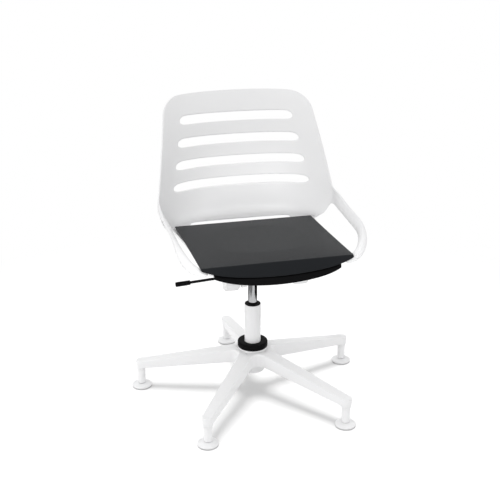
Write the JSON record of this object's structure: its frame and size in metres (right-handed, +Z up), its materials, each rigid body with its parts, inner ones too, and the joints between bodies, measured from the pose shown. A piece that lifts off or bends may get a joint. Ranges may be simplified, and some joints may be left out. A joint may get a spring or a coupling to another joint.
{
  "type": "task chair",
  "caption": "Task chair with a slotted one-piece shell and side loops, a slim pad on hanging links, a gas height lift and a star base on tilting glides.",
  "frame": {"origin": "middle of the footprint's box, on the floor", "axes": "+Z up, the front of the chair towards -Y, +X to the sitter's left"},
  "size_m": [0.735, 0.7006, 0.908],
  "materials": {
    "white_moulding": "fine moulded grain",
    "white_casting": "white powder coat",
    "white_steel": "white powder coat",
    "white_foot": "satin",
    "grey_sole": "felted",
    "black_plastic": "satin",
    "black_metal": "black powder coat",
    "black_fabric": "fine woven",
    "chrome": "polished",
    "bright_steel": "turned"
  },
  "bodies": {
    "base": {"base_star": "white_casting", "hub_collar": "black_plastic", "column_tube": "white_steel", "guide_bush": "black_plastic", "thrust_bearing": "bright_steel", "glide_stem_1": "white_steel", "glide_stem_2": "white_steel", "glide_stem_3": "white_steel", "glide_stem_4": "white_steel", "glide_stem_5": "white_steel"},
    "swivel": {"piston_rod": "bright_steel", "rod_clip": "bright_steel"},
    "lift": {"gas_cylinder": "chrome", "carrier": "black_metal", "lever_pin": "bright_steel", "upper_pin_front_left": "bright_steel", "upper_pin_front_right": "bright_steel", "upper_pin_rear_left": "bright_steel", "upper_pin_rear_right": "bright_steel"},
    "button": {"release_button": "bright_steel"},
    "lever": {"lever_rod": "black_metal", "lever_grip": "black_plastic"},
    "swing_front_left": {"link_front_left": "white_casting"},
    "swing_front_right": {"link_front_right": "white_casting"},
    "swing_rear_left": {"link_rear_left": "white_casting"},
    "swing_rear_right": {"link_rear_right": "white_casting"},
    "seat": {"shell": "white_moulding", "pad_base": "black_plastic", "seat_pad": "black_fabric", "rail_left": "white_casting", "rail_right": "white_casting", "lower_pin_front_left": "bright_steel", "lower_pin_front_right": "bright_steel", "lower_pin_rear_left": "bright_steel", "lower_pin_rear_right": "bright_steel", "rail_screw_1": "bright_steel", "rail_screw_2": "bright_steel", "rail_screw_3": "bright_steel", "rail_screw_4": "bright_steel", "pad_screw_front": "bright_steel", "pad_screw_rear": "bright_steel"},
    "foot_1": {"glide_foot_1": "white_foot", "glide_sole_1": "grey_sole"},
    "foot_2": {"glide_foot_2": "white_foot", "glide_sole_2": "grey_sole"},
    "foot_3": {"glide_foot_3": "white_foot", "glide_sole_3": "grey_sole"},
    "foot_4": {"glide_foot_4": "white_foot", "glide_sole_4": "grey_sole"},
    "foot_5": {"glide_foot_5": "white_foot", "glide_sole_5": "grey_sole"}
  },
  "joints": [
    {"name": "swivel_turn", "type": "hinge", "parent": "base", "child": "swivel", "pos_m": [0, -0.03374, 0.073], "axis": [0, 0, 1], "continuous": true},
    {"name": "seat_height", "type": "slide", "parent": "swivel", "child": "lift", "axis": [0, 0, 1], "range_m": [-0.095, 0.025]},
    {"name": "lever_lift", "type": "hinge", "parent": "lift", "child": "lever", "pos_m": [-0.052, -0.12874, 0.434], "axis": [0, 1, 0], "range_deg": [0, 6], "stiffness_Nm_per_rad": 1.5},
    {"name": "button_press", "type": "slide", "parent": "lift", "child": "button", "axis": [0, 0, 1], "range_m": [-0.0056, 0]},
    {"name": "link_front_left", "type": "hinge", "parent": "lift", "child": "swing_front_left", "pos_m": [0.0656, -0.17974, 0.466], "axis": [1, 0, 0], "range_deg": [-15, 15]},
    {"name": "link_front_right", "type": "hinge", "parent": "lift", "child": "swing_front_right", "pos_m": [-0.0656, -0.17974, 0.466], "axis": [1, 0, 0], "range_deg": [-15, 15]},
    {"name": "link_rear_left", "type": "hinge", "parent": "lift", "child": "swing_rear_left", "pos_m": [0.0656, 0.06626, 0.466], "axis": [1, 0, 0], "range_deg": [-15, 15]},
    {"name": "link_rear_right", "type": "hinge", "parent": "lift", "child": "swing_rear_right", "pos_m": [-0.0656, 0.06626, 0.466], "axis": [1, 0, 0], "range_deg": [-15, 15]},
    {"name": "seat_level", "type": "hinge", "parent": "swing_front_left", "child": "seat", "pos_m": [0.0656, -0.17974, 0.428], "axis": [1, 0, 0], "range_deg": [-15, 15]},
    {"name": "foot_tilt_1", "type": "hinge", "parent": "base", "child": "foot_1", "pos_m": [0, 0.31956, 0.0095], "axis": [-1, 0, 0], "range_deg": [-6, 6]},
    {"name": "foot_tilt_2", "type": "hinge", "parent": "base", "child": "foot_2", "pos_m": [-0.33601, 0.07544, 0.0095], "axis": [-0.309, -0.9511, 0], "range_deg": [-6, 6]},
    {"name": "foot_tilt_3", "type": "hinge", "parent": "base", "child": "foot_3", "pos_m": [-0.20766, -0.31956, 0.0095], "axis": [0.809, -0.5878, 0], "range_deg": [-6, 6]},
    {"name": "foot_tilt_4", "type": "hinge", "parent": "base", "child": "foot_4", "pos_m": [0.20766, -0.31956, 0.0095], "axis": [0.809, 0.5878, 0], "range_deg": [-6, 6]},
    {"name": "foot_tilt_5", "type": "hinge", "parent": "base", "child": "foot_5", "pos_m": [0.33601, 0.07544, 0.0095], "axis": [-0.309, 0.9511, 0], "range_deg": [-6, 6]}
  ],
  "couplings": [
    {"joint": "button_press", "follows": "lever_lift", "m_per_rad": -0.052},
    {"joint": "link_front_right", "follows": "link_front_left", "ratio": 1},
    {"joint": "link_rear_left", "follows": "link_front_left", "ratio": 1},
    {"joint": "link_rear_right", "follows": "link_front_left", "ratio": 1},
    {"joint": "seat_level", "follows": "link_front_left", "ratio": -1}
  ]
}
